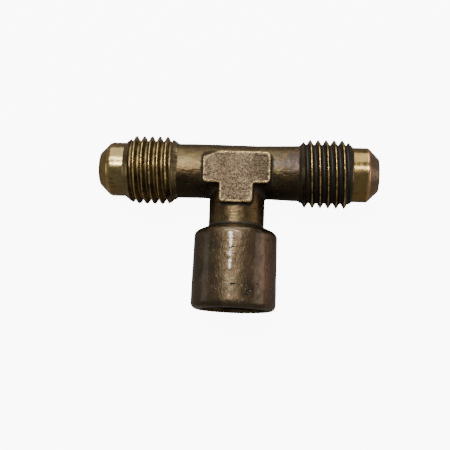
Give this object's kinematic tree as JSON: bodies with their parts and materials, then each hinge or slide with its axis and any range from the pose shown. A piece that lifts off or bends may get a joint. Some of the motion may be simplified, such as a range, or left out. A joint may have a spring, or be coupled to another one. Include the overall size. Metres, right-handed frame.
{
  "type": "flare fitting",
  "caption": "Forged brass branch tee: a straight run with a male flare thread, nose and 45 degree cone at each end, T-shaped wrench pads, and a round barrel with an inside pipe thread on the branch.",
  "frame": {"origin": "where the axis of the run crosses the axis of the branch", "axes": "+X along the run to the right-hand flare end, -Y along the branch to the mouth of its socket, +Z out of the front wrench pad"},
  "size_m": [0.045, 0.0279, 0.0134],
  "materials": {
    "aged_brass": "aged and tarnished, forged skin with turned ends and worn bright edges"
  },
  "bodies": {
    "root": {"tee_body": "aged_brass"}
  },
  "joints": []
}
